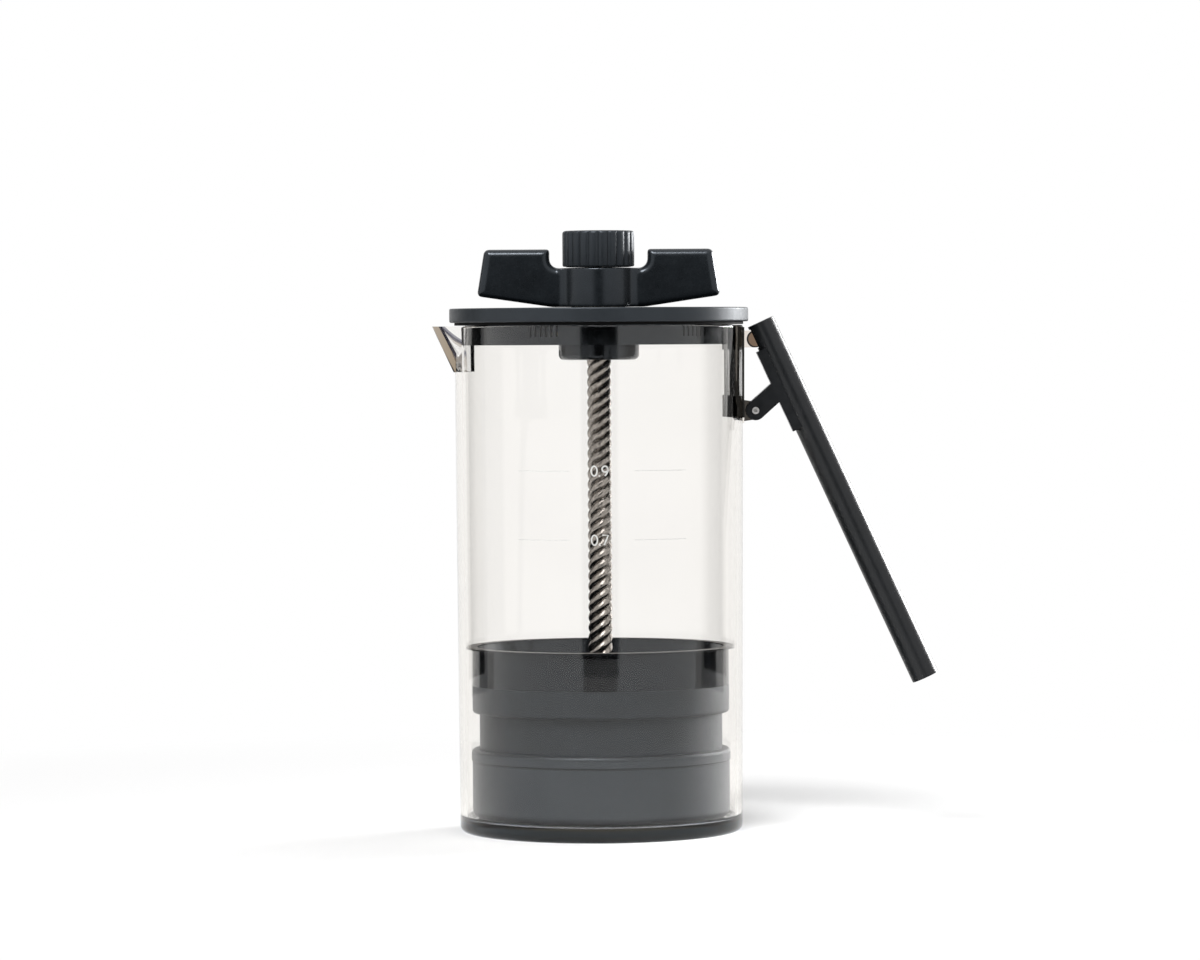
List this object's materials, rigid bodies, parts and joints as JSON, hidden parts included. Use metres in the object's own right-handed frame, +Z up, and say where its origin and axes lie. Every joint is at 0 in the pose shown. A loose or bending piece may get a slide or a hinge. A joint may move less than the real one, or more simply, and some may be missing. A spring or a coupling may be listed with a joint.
{
  "type": "vacuum coffee maker",
  "caption": "Clear smoky carafe with a pouring lip and folding rod handle; a wing handle on the lid works a lead screw that lifts a filter plunger.",
  "frame": {"origin": "centre of the carafe's flat underside", "axes": "+Z up along the screw, +X towards the rod handle, -Y to the front"},
  "size_m": [0.1852, 0.1098, 0.2205],
  "materials": {
    "smoke": "clear smoky grey-brown moulded plastic, polished",
    "black_plastic": "black moulded plastic with a fine satin grain",
    "silicone": "matt black silicone",
    "black_metal": "black anodised, satin",
    "steel": "rolled stainless steel",
    "brass": "turned, hidden inside"
  },
  "bodies": {
    "carafe": {"carafe": "smoke"},
    "handle": {"handle_rod": "black_metal", "handle_top_cap": "black_plastic", "handle_bottom_cap": "black_plastic", "handle_arm": "black_metal", "arm_screws": "steel", "hinge_pin": "steel", "hinge_washers": "steel"},
    "lid": {"lid_cover": "black_plastic", "lid_gasket": "silicone", "lid_skirt": "black_plastic", "lid_collar": "black_plastic", "lid_bush": "brass", "lid_screws": "steel", "thrust_washer": "steel"},
    "wing": {"wing_handle": "black_plastic", "drive_nut": "brass", "retaining_ring": "steel"},
    "plunger": {"lead_screw": "steel", "foot_nut": "steel", "piston_body": "black_plastic", "piston_seal": "silicone", "filter_cup": "black_plastic", "cup_ring": "silicone", "filter_mesh": "steel", "filter_clamp": "black_plastic", "knob_clip": "steel"},
    "knob": {"knob": "black_plastic", "knob_bush": "brass", "knob_cap": "black_plastic"}
  },
  "joints": [
    {"name": "lid_lift", "type": "slide", "parent": "carafe", "child": "lid", "axis": [0, 0, 1], "range_m": [0, 0.19]},
    {"name": "plunger_lift", "type": "slide", "parent": "lid", "child": "plunger", "axis": [0, 0, 1], "range_m": [0, 0.1]},
    {"name": "wing_spin", "type": "hinge", "parent": "lid", "child": "wing", "pos_m": [0, 0, 0.192], "axis": [0, 0, -1], "range_deg": [0, 2400]},
    {"name": "knob_turn", "type": "hinge", "parent": "plunger", "child": "knob", "pos_m": [0, 0, 0.2075], "axis": [0, 0, 1], "continuous": true},
    {"name": "handle_fold", "type": "hinge", "parent": "carafe", "child": "handle", "pos_m": [0.05737, 0, 0.15425], "axis": [0, 1, 0], "range_deg": [0, 30]}
  ],
  "couplings": [
    {"joint": "wing_spin", "follows": "plunger_lift", "rad_per_m": 418.88}
  ]
}
